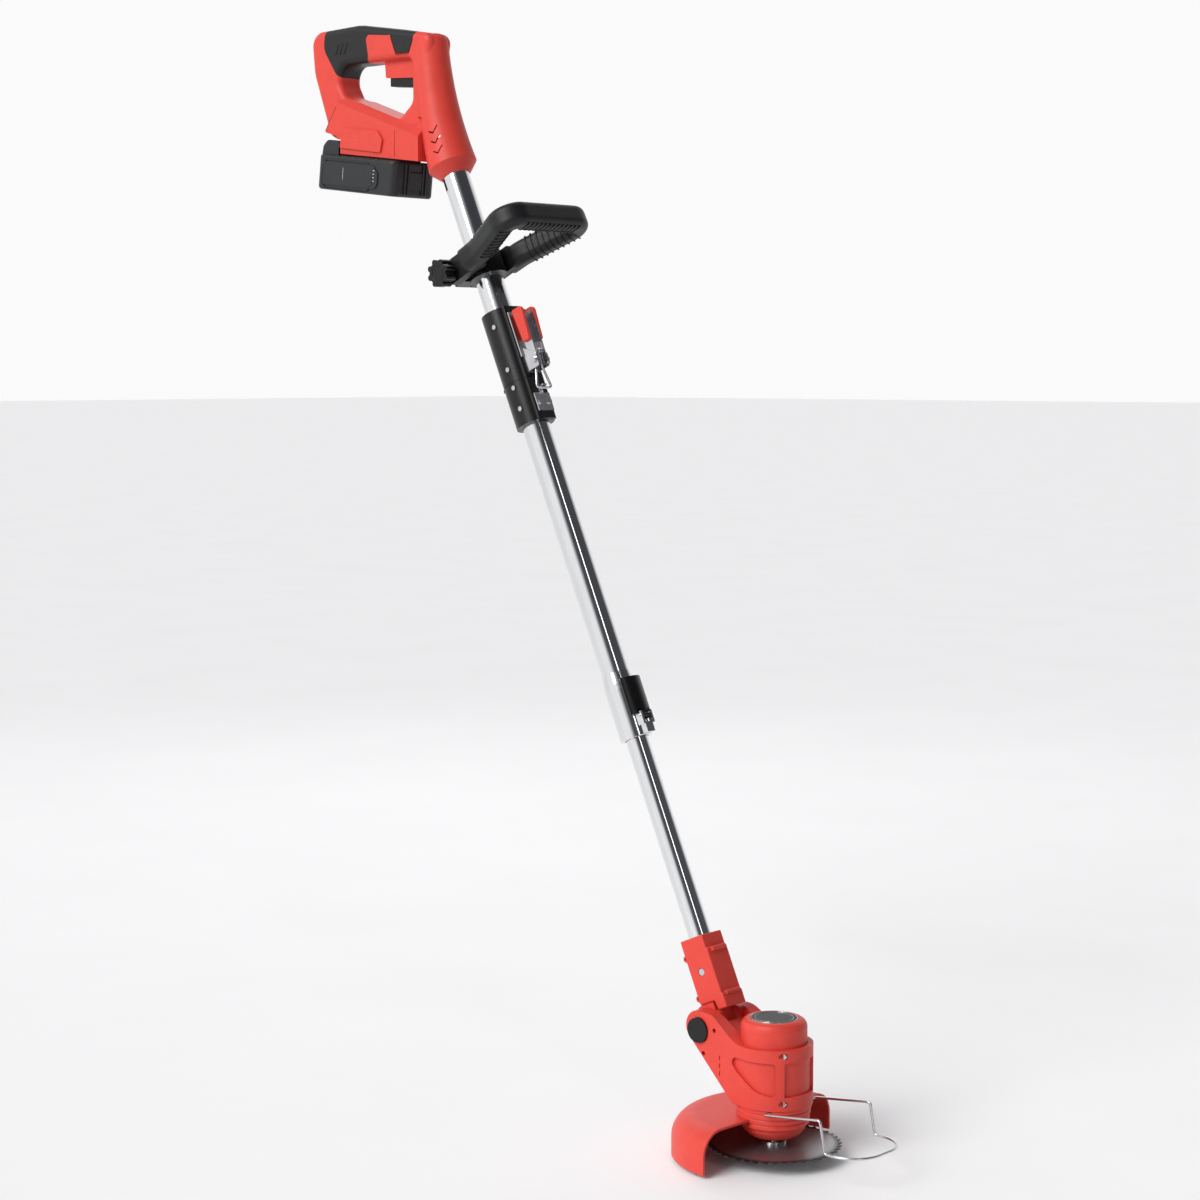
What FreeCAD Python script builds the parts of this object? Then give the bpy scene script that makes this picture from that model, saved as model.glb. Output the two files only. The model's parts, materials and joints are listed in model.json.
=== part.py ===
import FreeCAD, Part
import math
import os

import Sketcher

V = FreeCAD.Vector
doc = FreeCAD.newDocument("string_trimmer")

# ---------------------------------------------------------------- driving dimensions
# Row frame: +Z up, +X forward, +Y to the user's left; the origin is the tip of the spindle.
# The pole leans back by shaft_lean. In the pole frame x points forward from the pole, y to the
# left and z up along it, and its origin lies on the pole's axis at the height of the blade.
DIMENSIONS = {
    "blade_height": 16, "blade_radius": 75, "blade_thickness": 1.4, "tooth_depth": 4.5,
    "tooth_count": 44, "spindle_radius": 5, "thread_radius": 4, "washer_radius": 12,
    "shaft_lean": 24, "shaft_offset": 10,
    "tube_radius": 16.5, "tube_wall": 1.2, "lower_tube_radius": 13, "detent_pitch": 25.7,
    "upper_tube_top": 1262, "seam_height": 905, "sleeve_top": 995, "sleeve_foot": 853,
    "sleeve_radius": 23, "sleeve_box_front": 22, "sleeve_box_half": 15,
    "collar_top": 545, "collar_foot": 467, "collar_radius": 18.8,
    "lower_tube_top": 620, "adapter_top": 234, "adapter_foot": 161, "adapter_half": 17,
    "pivot_back": 15, "pivot_height": 136, "pivot_radius": 4, "cap_disc_radius": 13.8,
    "barrel_radius": 43, "barrel_foot": 47, "barrel_top": 113.5, "head_wall": 3.5,
    "cavity_radius": 36.8, "flank_half": 30, "lobe_radius": 20,
    "cap_radius": 36.4, "cap_top": 140, "label_radius": 26.5, "motor_radius": 28.5,
    "ring_radius": 41.5, "guard_radius": 112, "guard_top": 34, "guard_foot": -12,
    "guard_wall": 2.6, "guard_span": 173, "guard_corner": 27,
    "wire_radius": 1.5, "wire_half": 45, "wire_pivot_x": 22, "wire_pivot_z": 45,
    "nose_level": 1174, "handle_half": 28, "handle_wall": 3, "grip_skin": 2.4, "nose_radius": 29.5,
    "battery_length": 140, "battery_half": 35, "battery_height": 43, "battery_tilt": 7,
    "loop_height": 1058, "loop_reach": 114, "loop_half": 67, "loop_bar_half": 14.5,
    "running_gap": 0.08, "part_gap": 0.3,
}


def text_of(value):
    """The expression text of a size, or the plain number."""
    return value.text if isinstance(value, Size) else repr(float(value))


class Size(float):
    """A length that remembers how it comes from the sheet's cells."""

    def __new__(cls, value, text=None):
        size = float.__new__(cls, value)
        size.text = text or repr(float(value))
        return size

    def _join(self, other, sign, value):
        return Size(value, "(%s %s %s)" % (self.text, sign, text_of(other)))

    def __add__(self, other):
        return self._join(other, "+", float(self) + float(other))

    def __sub__(self, other):
        return self._join(other, "-", float(self) - float(other))

    def __mul__(self, other):
        return self._join(other, "*", float(self) * float(other))

    def __truediv__(self, other):
        return self._join(other, "/", float(self) / float(other))

    def __radd__(self, other):
        return Size(float(other) + float(self), "(%s + %s)" % (text_of(other), self.text))

    def __rsub__(self, other):
        return Size(float(other) - float(self), "(%s - %s)" % (text_of(other), self.text))

    def __rmul__(self, other):
        return Size(float(other) * float(self), "(%s * %s)" % (text_of(other), self.text))

    def __neg__(self):
        return Size(-float(self), "(0 - %s)" % self.text)


def make_sheet():
    """Fill the spreadsheet and return its values as sizes."""
    sheet = doc.addObject("Spreadsheet::Sheet", "Dims")
    for row, (name, value) in enumerate(DIMENSIONS.items(), start=1):
        sheet.set("A%d" % row, name)
        sheet.set("B%d" % row, str(value))
        sheet.setAlias("B%d" % row, name)
    doc.recompute()
    return {name: Size(sheet.get(name), "Dims.%s" % name) for name in DIMENSIONS}


D = make_sheet()
GAP = D["part_gap"]
RUN = D["running_gap"]
NODES = {}

POLE = FreeCAD.Placement(
    V(-D["shaft_offset"], 0, D["blade_height"]), FreeCAD.Rotation(V(0, 1, 0), -D["shaft_lean"])
)
HEAD = FreeCAD.Placement(V(0, 0, D["blade_height"]), FreeCAD.Rotation())
ALONG_Y = FreeCAD.Rotation(V(1, 0, 0), -90)
ALONG_X = FreeCAD.Rotation(V(0, 1, 0), 90)


def pole_point(x, y, z):
    """Row-frame position of a point given in the pole frame."""
    return POLE.multVec(V(x, y, z))


# ---------------------------------------------------------------- building helpers
def bind(obj, prop, size):
    """Set a property and tie it to the sheet when the size comes from it."""
    setattr(obj, prop, float(size))
    if isinstance(size, Size):
        obj.setExpression(prop, size.text)


def at(x=0, y=0, z=0, rotation=None):
    return FreeCAD.Placement(V(x, y, z), rotation or FreeCAD.Rotation())


def cylinder(radius, height, place=None, angle=None):
    obj = doc.addObject("Part::Cylinder", "Cylinder")
    bind(obj, "Radius", radius)
    bind(obj, "Height", height)
    if angle is not None:
        bind(obj, "Angle", angle)
    obj.Placement = place or at()
    return obj


def cone(radius_low, radius_high, height, place=None):
    obj = doc.addObject("Part::Cone", "Cone")
    bind(obj, "Radius1", radius_low)
    bind(obj, "Radius2", radius_high)
    bind(obj, "Height", height)
    obj.Placement = place or at()
    return obj


def box(low, high, place=None):
    """A box between two corners, each given as (x, y, z)."""
    obj = doc.addObject("Part::Box", "Box")
    for prop, a, b in zip(("Length", "Width", "Height"), low, high):
        bind(obj, prop, b - a)
    corner = FreeCAD.Placement(V(*low), FreeCAD.Rotation())
    obj.Placement = place.multiply(corner) if place else corner
    return obj


def fuse(*parts):
    obj = doc.addObject("Part::MultiFuse", "Fuse")
    obj.Shapes = list(parts)
    obj.Refine = True
    return obj


def cut(base, *tools):
    tool = tools[0] if len(tools) == 1 else fuse(*tools)
    obj = doc.addObject("Part::Cut", "Cut")
    obj.Base = base
    obj.Tool = tool
    return obj


def common(*parts):
    obj = doc.addObject("Part::MultiCommon", "Common")
    obj.Shapes = list(parts)
    return obj


def group(*parts):
    obj = doc.addObject("Part::Compound", "Group")
    obj.Links = list(parts)
    return obj


def own_shape(shape, place=None):
    """A feature whose shape is made with Part's own functions."""
    obj = doc.addObject("Part::Feature", "Shape")
    obj.Shape = shape
    obj.Placement = place or at()
    return obj


def node(name, obj, place=None):
    """Name a finished sub-part; its label is its file name."""
    obj.Label = name
    if place is not None:
        obj.Placement = place.multiply(obj.Placement)
    NODES[name] = obj
    return obj


def ring(radius_out, radius_in, low, high):
    """A tube along z with both radii bound to the sheet."""
    outer = cylinder(radius_out, high - low, at(0, 0, low))
    inner = cylinder(radius_in, high - low + 2, at(0, 0, low - 1))
    return cut(outer, inner)


def bar_y(radius, low, high, x, z):
    """A round bar or hole along y at (x, z)."""
    return cylinder(radius, high - low, at(x, low, z, ALONG_Y))


def bar_x(radius, low, high, y, z):
    """A round bar or hole along x at (y, z)."""
    return cylinder(radius, high - low, at(low, y, z, ALONG_X))


def plane_of(body, role):
    return [f for f in body.Origin.OriginFeatures if f.Role == role][0]


def profile_sketch(body, role, points):
    """A closed outline of straight lines on an origin plane, with every corner dimensioned."""
    sketch = body.newObject("Sketcher::SketchObject", "Profile")
    sketch.AttachmentSupport = [(plane_of(body, role), "")]
    sketch.MapMode = "FlatFace"
    count = len(points)
    for i in range(count):
        a, b = points[i], points[(i + 1) % count]
        sketch.addGeometry(Part.LineSegment(V(a[0], a[1], 0), V(b[0], b[1], 0)), False)
    for i in range(count):
        sketch.addConstraint(Sketcher.Constraint("Coincident", i, 2, (i + 1) % count, 1))
    for i, point in enumerate(points):
        for kind, axis, value in (("DistanceX", -2, point[0]), ("DistanceY", -1, point[1])):
            if float(value) == 0:
                sketch.addConstraint(Sketcher.Constraint("PointOnObject", i, 1, axis))
                continue
            number = sketch.addConstraint(Sketcher.Constraint(kind, -1, 1, i, 1, float(value)))
            if isinstance(value, Size):
                sketch.setExpression("Constraints[%d]" % number, value.text)
    return sketch


def turned_body(points, angle=360):
    """A body turned about z from an outline of (radius, height) corners."""
    body = doc.addObject("PartDesign::Body", "Turned")
    sketch = profile_sketch(body, "XZ_Plane", points)
    turn = body.newObject("PartDesign::Revolution", "Turn")
    turn.Profile = sketch
    turn.ReferenceAxis = (sketch, ["V_Axis"])
    bind(turn, "Angle", angle)
    return body


def padded_body(role, points, thickness):
    """A body padded both ways from an origin plane."""
    body = doc.addObject("PartDesign::Body", "Padded")
    sketch = profile_sketch(body, role, points)
    pad = body.newObject("PartDesign::Pad", "Pad")
    pad.Profile = sketch
    pad.SideType = "Symmetric"
    bind(pad, "Length", thickness)
    return body


def rounded_outline(corners):
    """A closed wire in the XZ plane from (x, z, radius) corners, each rounded by an arc."""
    count = len(corners)
    cuts = []
    for i, (x, z, radius) in enumerate(corners):
        here = V(x, 0, z)
        before = V(corners[i - 1][0], 0, corners[i - 1][1]) - here
        after = V(corners[(i + 1) % count][0], 0, corners[(i + 1) % count][1]) - here
        before.normalize()
        after.normalize()
        half = before.getAngle(after) / 2
        reach = float(radius) / math.tan(half)
        middle = (before + after).normalize()
        centre = here + middle * (float(radius) / math.sin(half))
        top = centre - middle * float(radius)
        cuts.append((here + before * reach, top, here + after * reach, radius > 0))
    edges = []
    for i in range(count):
        start, top, end, is_round = cuts[i]
        if is_round:
            edges.append(Part.Arc(start, top, end).toShape())
        follow = cuts[(i + 1) % count][0]
        if (follow - end).Length > 1e-6:
            edges.append(Part.LineSegment(end, follow).toShape())
    return Part.Wire(Part.__sortEdges__(edges))


def prism_y(wire, low, high):
    """The wire's face extruded along y from low to high."""
    face = Part.Face(wire)
    face.translate(V(0, low, 0))
    return face.extrude(V(0, high - low, 0))


def rod_along(points, radius, bends):
    """A round rod through points, rounded at each inner point by its own bend radius."""
    edges = []
    last = V(*points[0])
    for i, bend in enumerate(bends, start=1):
        here = V(*points[i])
        before = (V(*points[i - 1]) - here).normalize()
        after = (V(*points[i + 1]) - here).normalize()
        half = before.getAngle(after) / 2
        reach = bend / math.tan(half)
        middle = (before + after).normalize()
        top = here + middle * (bend / math.sin(half) - bend)
        edges.append(Part.LineSegment(last, here + before * reach).toShape())
        edges.append(Part.Arc(here + before * reach, top, here + after * reach).toShape())
        last = here + after * reach
    edges.append(Part.LineSegment(last, V(*points[-1])).toShape())
    path = Part.Wire(edges)
    start = (V(*points[1]) - V(*points[0])).normalize()
    circle = Part.Wire(Part.makeCircle(radius, V(*points[0]), start))
    return path.makePipeShell([circle], True, False)


def coil(radius, wire, length, turns, place=None):
    """A compression spring along z."""
    helix = Part.makeHelix(length / turns, length, radius)
    circle = Part.Wire(Part.makeCircle(wire, V(radius, 0, 0), V(0, 1, 0)))
    return own_shape(helix.makePipeShell([circle], True, True), place)


# ---------------------------------------------------------------- cutting tool
def make_blade():
    teeth = int(D["tooth_count"])
    step = 2 * math.pi / teeth
    gullet = D["blade_radius"] - D["tooth_depth"]
    corners = []
    for i in range(teeth):
        for radius, lag in ((D["blade_radius"], 0.0), (gullet, 0.12), (gullet, 0.35)):
            angle = (i + lag) * step
            corners.append(V(radius * math.cos(angle), radius * math.sin(angle), 0))
    face = Part.Face(Part.makePolygon(corners + corners[:1]))
    half = D["blade_thickness"] / 2
    face.translate(V(0, 0, -half))
    disc = face.extrude(V(0, 0, D["blade_thickness"]))
    bore = Part.makeCylinder(D["spindle_radius"] + 0.02, 4, V(0, 0, -2))
    node("blade", own_shape(disc.cut(bore)), HEAD)


def make_spindle():
    half = D["blade_thickness"] / 2
    seat = -half
    body = turned_body([
        (0, -D["blade_height"]), (D["thread_radius"], -D["blade_height"]),
        (D["thread_radius"], seat), (D["spindle_radius"], seat),
        (D["spindle_radius"], 60), (0, 60),
    ])
    node("spindle", body, HEAD)
    upper = ring(D["washer_radius"] + 2, D["spindle_radius"] + 0.02, half, half + 3)
    node("upper_flange", upper, HEAD)
    lower = ring(D["washer_radius"], D["thread_radius"] + 0.02, seat - 2, seat)
    node("lower_washer", lower, HEAD)
    hexagon = [V(7.5 * math.cos(a * math.pi / 3), 7.5 * math.sin(a * math.pi / 3), 0) for a in range(6)]
    nut = Part.Face(Part.makePolygon(hexagon + hexagon[:1])).extrude(V(0, 0, 6.5))
    nut = nut.cut(Part.makeCylinder(D["thread_radius"] + 0.02, 10, V(0, 0, -1)))
    node("blade_nut", own_shape(nut, at(0, 0, seat - 8.5)), HEAD)


def make_ribbed_collar():
    """The gear end of the head: four stacked rings over a shallow dome."""
    foot = D["barrel_foot"]
    outline = []
    for i in range(4):
        radius = D["ring_radius"] - 0.9 * i
        top = foot - 6 * i
        outline += [(radius - 0.6, top), (radius, top - 0.8), (radius, top - 4.4), (radius - 1.8, top - 5)]
    outline += [(36, foot - 24), (34.5, 18.5), (31, 14), (25, 10), (17, 8)]
    outline += [(6.5, 8), (6.5, 9), (11.02, 9), (11.02, 17), (13, 19), (30, 26), (33, 30), (33, foot)]
    groove = bar_y(D["wire_radius"] + GAP, -50, 50, D["wire_pivot_x"], D["wire_pivot_z"])
    node("ribbed_collar", cut(turned_body(outline), groove), HEAD)
    node("spindle_bearing", ring(11, D["spindle_radius"] + RUN, Size(9), Size(16)), HEAD)


def make_guard():
    """The half skirt behind the blade, turned about the spindle."""
    wall = D["guard_wall"]
    corner = D["guard_corner"]
    rim = D["guard_radius"]
    top = D["guard_top"]
    foot = D["guard_foot"]
    hub = 40.0
    lean = math.sin(math.radians(45))

    def arc(radius):
        centre = V(rim - corner, 0, top - corner)
        return Part.Arc(
            centre + V(0, 0, radius),
            centre + V(radius * lean, 0, radius * lean),
            centre + V(radius, 0, 0),
        ).toShape()

    outer, inner = arc(corner), arc(corner - wall)
    corners = [
        V(rim - corner, 0, top), V(hub, 0, top), V(hub, 0, top - wall), V(rim - corner, 0, top - wall),
        V(rim - wall, 0, top - corner), V(rim - wall, 0, foot), V(rim, 0, foot), V(rim, 0, top - corner),
    ]
    lines = [(0, 1), (1, 2), (2, 3), (4, 5), (5, 6), (6, 7)]
    edges = [Part.LineSegment(corners[a], corners[b]).toShape() for a, b in lines]
    wire = Part.Wire(Part.__sortEdges__(edges + [outer, inner]))
    skirt = Part.Face(wire).revolve(V(0, 0, 0), V(0, 0, 1), D["guard_span"])
    turn = FreeCAD.Rotation(V(0, 0, 1), 180 - D["guard_span"] / 2)
    node("guard", own_shape(skirt, at(rotation=turn)), HEAD)


def make_wire_guard():
    """The sprung wire bow that keeps plants off the blade; it flips up on its two bent ends."""
    side = D["wire_half"]
    x, z = D["wire_pivot_x"], D["wire_pivot_z"]
    half = [(x, 33.5, z), (x, side, z), (x + 75, side, z + 10), (x + 82, side, z - 25), (x + 127, side, z - 25)]
    other = [(px, -py, pz) for px, py, pz in reversed(half)]
    rod = rod_along(half + other, D["wire_radius"], [4, 4, 4, 34, 34, 4, 4, 4])
    node("wire_guard", own_shape(rod), HEAD)


# ---------------------------------------------------------------- cutting head
def head_block(inset):
    """The head's outer solid, or the same solid drawn in by an inset."""
    top = D["barrel_top"]
    foot = D["barrel_foot"]
    side = rounded_outline([
        (45, foot, 0), (45, top, 0), (-22, top, 38), (-58, 139, 26), (-100, 139, 19),
        (-100, 113, 14), (-25.5, foot, 8),
    ])
    block = prism_y(side, -60, 60)
    radius = D["barrel_radius"] - inset
    end = D["flank_half"] - inset
    back = 101.0
    lean = math.asin(end / math.hypot(back, end))
    reach = math.acos(radius / math.hypot(back, end))
    turn = math.pi - lean - reach
    touch = V(radius * math.cos(turn), radius * math.sin(turn), 0)
    plan = [V(-back, -end, 0), V(touch.x, -touch.y, 0), touch, V(-back, end, 0)]
    arms = Part.Face(Part.makePolygon(plan + plan[:1])).extrude(V(0, 0, 200))
    barrel = Part.makeCylinder(radius, 200)
    return block.common(arms.fuse(barrel))


def head_windows():
    """Shallow windows round the barrel: one at the front, one in each flank."""
    floor_block = head_block(D["head_wall"])
    wedge = Part.Face(Part.makePolygon([V(0, 0, 0), V(60, -44, 0), V(60, 44, 0), V(0, 0, 0)]))
    front = wedge.extrude(V(0, 0, 38))
    front.translate(V(0, 0, 62))
    flank = rounded_outline([(28, 99.5, 3), (28, 62, 4), (8, 67, 40), (-20, 84, 30), (-35, 99.5, 6)])
    sides = prism_y(flank, 20, 60).fuse(prism_y(flank, -60, -20))
    return front.fuse(sides).cut(floor_block)


HEAD_SCREWS = [(33.5, 107.5, 3.3), (33.5, 55, 3.3), (-55, 122, 2.6), (-72, 93, 2.6)]


def make_head_shells():
    px, pz = -79.0, 118.1
    block = head_block(0)
    shell = block.cut(head_windows())
    cavity = Part.makeCylinder(D["cavity_radius"], 80, V(0, 0, D["barrel_foot"] + 3))
    slot = Part.makeBox(52, 29.2, 60, V(-111, -14.6, 100))
    web = prism_y(rounded_outline([(-60, 127, 0), (-28, 112, 0), (-28, 160, 0), (-60, 160, 0)]), -21, 21)
    shell = shell.cut(slot).cut(web)
    for y in (-1, 1):
        start = 25.7 if y > 0 else -60
        shell = shell.cut(Part.makeCylinder(D["cap_disc_radius"] + GAP, 34.3, V(px, start, pz), V(0, 1, 0)))
    spring_well = Part.makeCylinder(8.2, 8, V(px, -26, pz), V(0, 1, 0))
    bolt_hole = Part.makeCylinder(D["pivot_radius"] + 0.02, 60, V(px, -30, pz), V(0, 1, 0))
    shell = shell.cut(spring_well).cut(bolt_hole)
    posts = [Part.makeCylinder(3.6, 50, V(33.5, -25, z), V(0, 1, 0)) for z in (107.5, 55)]
    room = cavity.cut(posts[0]).cut(posts[1]).cut(Part.makeCylinder(D["motor_radius"] + 0.3, 200))
    room = room.fuse(cavity.common(Part.makeCylinder(D["motor_radius"] + 0.3, 200)))
    shell = shell.cut(room)
    for x, z, radius in HEAD_SCREWS:
        shell = shell.cut(Part.makeCylinder(radius, 40, V(x, -62, z), V(0, 1, 0)))
        shell = shell.cut(Part.makeCylinder(1.52, 36, V(x, -24, z), V(0, 1, 0)))
    for i in range(3):
        slit = Part.makeBox(2, 8, 5.5, V(-47, -44, 90.5 - 8.5 * i))
        shell = shell.cut(slit)
    spout = Part.makeCylinder(6.5, 10, V(0, 0, D["barrel_foot"] - 2))
    pivots = [Part.makeCylinder(D["wire_radius"] + 0.2, 60, V(22, -30, 45), V(0, 1, 0))]
    shell = shell.cut(spout).cut(pivots[0])
    half_space = Part.makeBox(300, 100, 300, V(-150, 0, -50))
    node("head_shell_left", own_shape(shell.common(half_space)), HEAD)
    node("head_shell_right", own_shape(shell.cut(half_space)), HEAD)
    screws = []
    for x, z, radius in HEAD_SCREWS:
        head = bar_y(Size(radius - 0.3), -23.8 - 2.2, -23.8, x, z)
        shank = bar_y(Size(1.5), -24, 11.5, x, z)
        screws.append(fuse(head, shank))
    node("head_screws", group(*screws), HEAD)


def make_motor():
    can = cylinder(D["motor_radius"], 46, at(0, 0, 54))
    low_boss = cylinder(9, 4, at(0, 0, 50.5))
    end_cap = cylinder(24, 6, at(0, 0, 100))
    rear_boss = cylinder(7, 5, at(0, 0, 106))
    well = cylinder(D["spindle_radius"] + RUN, 14, at(0, 0, 50))
    node("motor", cut(fuse(can, low_boss, end_cap, rear_boss), well), HEAD)


def make_motor_cap():
    """The domed cap over the motor, with a sunk round label."""
    radius = D["cap_radius"]
    top = D["cap_top"]
    round_off = 9.0
    steps = [math.radians(a) for a in (0, 22.5, 45, 67.5, 90)]
    crown = [
        (radius - round_off + round_off * math.cos(a), top - round_off + round_off * math.sin(a))
        for a in steps
    ]
    label = D["label_radius"] + 0.1
    sunk = top - 0.8
    outline = [(radius - 2.5, 101.0), (radius, 101.0)] + crown
    outline += [(label, top), (label, sunk), (0, sunk), (0, top - 3.4), (radius - 8, top - 3.4)]
    outline += [(radius - 2.5, top - 9)]
    post_room = box((29, -26, 99), (40, 26, 111.8))
    node("motor_cap", cut(turned_body(outline), post_room), HEAD)
    node("label_plate", cylinder(D["label_radius"], 0.8, at(0, 0, sunk)), HEAD)


def make_tilt_pivot():
    """The head's tilt pin, its fixed cap and the round push button that frees the tilt."""
    px, pz = -79.0, 118.1
    disc = D["cap_disc_radius"]
    node("tilt_pin", bar_y(D["pivot_radius"], -18.5, 24, px, pz), HEAD)
    node("pivot_cap", bar_y(disc, 25.8, 36.5, px, pz), HEAD)
    node("tilt_button", bar_y(disc, -36.8, -29, px, pz), HEAD)


make_blade()
make_spindle()
make_ribbed_collar()
make_guard()
make_wire_guard()
make_head_shells()
make_motor()
make_motor_cap()
make_tilt_pivot()


# ---------------------------------------------------------------- lower tube and adapter
def make_lower_tube():
    """The sliding tube, with a row of index holes on its rear right side."""
    tube = ring(D["lower_tube_radius"], D["lower_tube_radius"] - D["tube_wall"],
                Size(174), D["lower_tube_top"])
    side = V(-math.cos(math.radians(42)), -math.sin(math.radians(42)), 0)
    turn = FreeCAD.Rotation(V(0, 0, 1), side)
    holes = [
        cylinder(2.6, 20, at(0, 0, 262 + D["detent_pitch"] * i, turn)) for i in range(8)
    ]
    snap_hole = bar_y(4.2, -20, 0, 0, SNAP_LEVEL)
    node("lower_tube", cut(tube, *holes, snap_hole), POLE)
    bush = ring(D["tube_radius"] - D["tube_wall"] - RUN, D["lower_tube_radius"] + 0.02,
                D["lower_tube_top"] - 34, D["lower_tube_top"] - 2)
    node("guide_bush", bush, POLE)


REAR_BOSSES = (214, 168)
SNAP_LEVEL = 195


def make_adapter():
    """The boxy clamshell between the lower tube and the head, with a tongue for the tilt pin."""
    half = D["adapter_half"]
    low, high = D["adapter_foot"], D["adapter_top"]
    side = rounded_outline([
        (-17, low, 2), (5, low, 1), (7, low - 11, 1), (20, low - 11, 1), (20, low + 4, 0.8),
        (18.6, low + 6, 0.8), (18.6, low + 56, 0.8), (17, low + 58, 0.8), (17, high, 1.5), (-17, high, 1.5),
    ])
    block = prism_y(side, -half, half)
    long_edges = [e for e in block.Edges if e.BoundBox.ZLength > 40 and e.BoundBox.YLength < 0.1]
    block = block.makeFillet(1.5, long_edges)
    tongue_side = rounded_outline([(-30.6, 120.4, 15.4), (0.4, 120.4, 15.4), (0.4, 166, 0), (-30.6, 166, 0)])
    tongue = prism_y(tongue_side, -14.2, 14.2).common(Part.makeBox(34, 60, 60, V(-32, -30, 106)))
    rear_trim = prism_y(rounded_outline([(-40, 152, 0), (-17, 161, 0), (-17, 180, 0), (-40, 180, 0)]), -30, 30)
    block = block.fuse(tongue.cut(rear_trim))
    for z in (216, 166):
        loop = Part.makeCylinder(2.6, 22, V(20.0, -11, z), V(0, 1, 0))
        block = block.fuse(loop)
    for z in REAR_BOSSES:
        block = block.fuse(Part.makeCylinder(3.8, 2 * half - 6, V(-18.6, 3 - half, z), V(0, 1, 0)))
    bore = Part.makeCylinder(D["lower_tube_radius"] + 0.02, 120, V(0, 0, 174))
    eye = Part.makeCylinder(D["pivot_radius"] + RUN, 60, V(-D["pivot_back"], -30, D["pivot_height"]), V(0, 1, 0))
    snap = Part.makeCylinder(4.5, 30, V(0, -30, SNAP_LEVEL), V(0, 1, 0))
    block = block.cut(bore).cut(eye).cut(snap)
    screw_holes = [Part.makeCylinder(1.52, 24, V(-18.6, -12, z), V(0, 1, 0)) for z in REAR_BOSSES]
    wells = [Part.makeCylinder(2.4, 6, V(-18.6, -15, z), V(0, 1, 0)) for z in REAR_BOSSES]
    for tool in screw_holes + wells:
        block = block.cut(tool)
    left = Part.makeBox(200, 60, 300, V(-100, 0, 50))
    node("adapter_left", own_shape(block.common(left)), POLE)
    node("adapter_right", own_shape(block.cut(left)), POLE)
    screws = [fuse(bar_y(Size(2.2), -12, -10, -18.6, z), bar_y(Size(1.5), -11, 11, -18.6, z)) for z in REAR_BOSSES]
    node("adapter_screws", group(*screws), POLE)
    button = fuse(bar_y(Size(3.9), -16.6, -7.5, 0, SNAP_LEVEL), bar_y(Size(5.4), -10, -7.5, 0, SNAP_LEVEL))
    node("snap_button", button, POLE)


# ---------------------------------------------------------------- telescope collar
def make_telescope():
    tube = ring(D["tube_radius"], D["tube_radius"] - D["tube_wall"], D["collar_foot"] + 4, D["seam_height"] - 4)
    node("middle_tube", tube, POLE)
    radius, foot, top = D["collar_radius"], D["collar_foot"], D["collar_top"]
    bore = D["tube_radius"] + 0.02
    lip = D["lower_tube_radius"] + 1
    outline = [
        (lip, foot), (radius - 0.8, foot), (radius, foot + 0.8), (radius, top - 20), (radius - 0.5, top - 13),
        (bore + 0.5, top), (bore, top), (bore, foot + 3.5), (lip, foot + 3.5),
    ]
    shell = turned_body(outline)
    boss = box((17.6, -6.2, foot + 1), (25, 6.2, foot + 13))
    ears = [box((17.4, y, foot + 11), (26, y + 3, foot + 26)) for y in (-9.3, 6.3)]
    hinge = bar_y(Size(1.55), -12, 12, 22.5, foot + 21.5)
    node("telescope_collar", cut(fuse(shell, boss, *ears), hinge), POLE)
    wedge = Part.Face(Part.makePolygon([V(0, 0, 0), V(40, -38, 0), V(40, 38, 0), V(0, 0, 0)]))
    shield = Part.makeCylinder(24.8, 44, V(0, 0, foot + 24)).cut(Part.makeCylinder(19.4, 60, V(0, 0, foot + 20)))
    shield = shield.common(wedge.extrude(V(0, 0, 700)))
    relief = [Part.makeBox(11, 3.6, 6, V(15, y, foot + 23)) for y in (-9.6, 6)]
    knuckle = Part.makeCylinder(3.2, 12, V(22.5, -6, foot + 21.5), V(0, 1, 0))
    neck = Part.makeBox(5, 12, 5, V(20, -6, foot + 21.5))
    lever = shield.cut(relief[0]).cut(relief[1]).fuse(knuckle).fuse(neck)
    lever = lever.cut(Part.makeCylinder(1.5 + RUN, 30, V(22.5, -15, foot + 21.5), V(0, 1, 0)))
    node("collar_lever", own_shape(lever), POLE)
    node("collar_lever_pin", bar_y(Size(1.5), -10.4, 10.4, 22.5, foot + 21.5), POLE)


# ---------------------------------------------------------------- fold joint and its toggle latch
HINGE_BACK = 20.4
SLEEVE_SCREW_X = 5


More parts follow.
